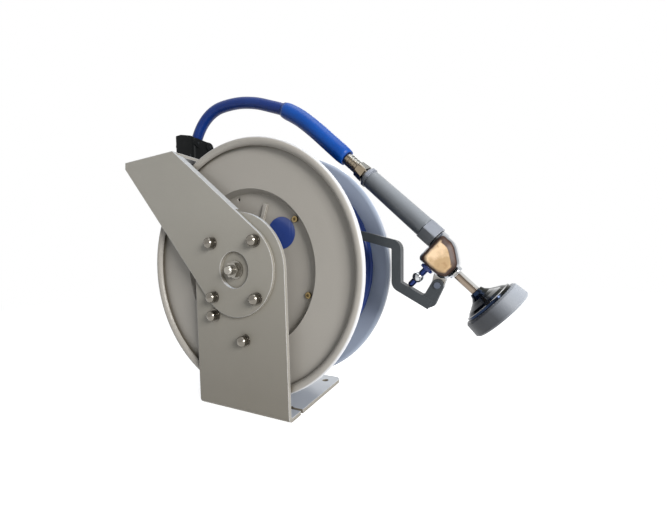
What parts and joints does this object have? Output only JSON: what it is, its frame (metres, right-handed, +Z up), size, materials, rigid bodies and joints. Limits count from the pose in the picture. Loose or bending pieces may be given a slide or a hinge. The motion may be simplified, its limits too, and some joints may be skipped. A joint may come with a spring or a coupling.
{
  "type": "spring-rewind hose reel",
  "caption": "Single-pedestal spring-rewind hose reel with roller guide, ratchet and pawl, and a squeeze-lever spray valve on its hose.",
  "frame": {"origin": "centre of the four foot holes, on the underside of the foot", "axes": "+X to the right along the pedestal plate towards the spray valve, +Y back along the shaft, +Z up"},
  "size_m": [0.5992, 0.1886, 0.4927],
  "materials": {
    "powder_coat": "satin powder coat",
    "zinc_steel": "zinc-plated steel",
    "machined_steel": "machined steel",
    "spring_steel": "blued spring steel",
    "brass": "machined brass",
    "chrome": "bright chrome plate",
    "hose_blue": "smooth blue rubber",
    "sleeve_blue": "blue moulded sleeve",
    "guide_black": "black moulded plastic",
    "roller_black": "black plastic roller",
    "grip_grey": "dark grey insulated grip",
    "nut_grey": "light grey coated nut",
    "lever_grey": "dark grey coated lever",
    "bumper_grey": "grey rubber",
    "badge_blue": "plain blue plate"
  },
  "bodies": {
    "frame": {"pedestal": "powder_coat", "guide_arm": "powder_coat", "arm_bolts": "zinc_steel", "arm_nuts": "zinc_steel", "shaft_nut": "zinc_steel", "main_shaft": "machined_steel", "spring_arbor": "machined_steel", "shaft_collar": "machined_steel", "inlet_elbow": "brass", "pawl_bolt": "zinc_steel", "pawl_clip": "spring_steel", "anchor_bolt": "zinc_steel", "pawl_spring": "spring_steel", "guide_frame": "guide_black", "guide_screws": "zinc_steel", "roller_pins": "machined_steel", "hose_free": "hose_blue", "bend_sleeve": "sleeve_blue", "hose_ferrule": "chrome", "swivel_nut": "chrome", "grip_collar": "nut_grey", "grip": "grip_grey", "grip_hex_nut": "nut_grey", "valve_body": "chrome", "valve_bonnet": "chrome", "spray_neck": "chrome", "spray_bell": "chrome", "spray_face": "machined_steel", "spray_bumper": "bumper_grey", "lever_pin": "machined_steel", "power_spring": "spring_steel"},
    "reel": {"front_disc": "powder_coat", "back_disc": "powder_coat", "drum_barrel": "powder_coat", "front_hub_plate": "powder_coat", "rear_hub_plate": "powder_coat", "hub_screws": "brass", "hub_badge": "badge_blue", "ratchet": "machined_steel", "front_bush": "brass", "rear_bush": "brass", "swivel_hub": "brass", "riser_pipe": "chrome", "hose_elbow": "brass", "spring_case": "powder_coat", "hose_winding": "hose_blue"},
    "roller_left": {"roller_left": "roller_black"},
    "roller_right": {"roller_right": "roller_black"},
    "roller_front": {"roller_front": "roller_black"},
    "roller_back": {"roller_back": "roller_black"},
    "pawl": {"pawl": "machined_steel"},
    "lever": {"lever": "lever_grey"},
    "stem": {"valve_stem": "chrome", "stem_knob": "chrome"}
  },
  "joints": [
    {"name": "reel_turn", "type": "hinge", "parent": "frame", "child": "reel", "pos_m": [0, 0, 0.209], "axis": [0, 1, 0], "continuous": true},
    {"name": "roller_left_turn", "type": "hinge", "parent": "frame", "child": "roller_left", "pos_m": [-0.1635, -0.02, 0.4065], "axis": [0, 1, 0], "continuous": true},
    {"name": "roller_right_turn", "type": "hinge", "parent": "frame", "child": "roller_right", "pos_m": [-0.1365, -0.02, 0.4065], "axis": [0, 1, 0], "continuous": true},
    {"name": "roller_front_turn", "type": "hinge", "parent": "frame", "child": "roller_front", "pos_m": [-0.15, -0.0335, 0.428], "axis": [1, 0, 0], "continuous": true},
    {"name": "roller_back_turn", "type": "hinge", "parent": "frame", "child": "roller_back", "pos_m": [-0.15, -0.0065, 0.428], "axis": [1, 0, 0], "continuous": true},
    {"name": "pawl_swing", "type": "hinge", "parent": "frame", "child": "pawl", "pos_m": [-0.045, -0.0745, 0.141], "axis": [0, 1, 0], "range_deg": [0, 11], "stiffness_Nm_per_rad": 0.5, "springref_deg": -8.59},
    {"name": "lever_squeeze", "type": "hinge", "parent": "frame", "child": "lever", "pos_m": [0.26554, -0.02, 0.18448], "axis": [0, 1, 0], "range_deg": [0, 12], "stiffness_Nm_per_rad": 1, "springref_deg": -5.73},
    {"name": "stem_push", "type": "slide", "parent": "frame", "child": "stem", "axis": [0.7071, 0, 0.7071], "range_m": [0, 0.0065]}
  ],
  "couplings": [
    {"joint": "stem_push", "follows": "lever_squeeze", "m_per_rad": 0.0305}
  ]
}
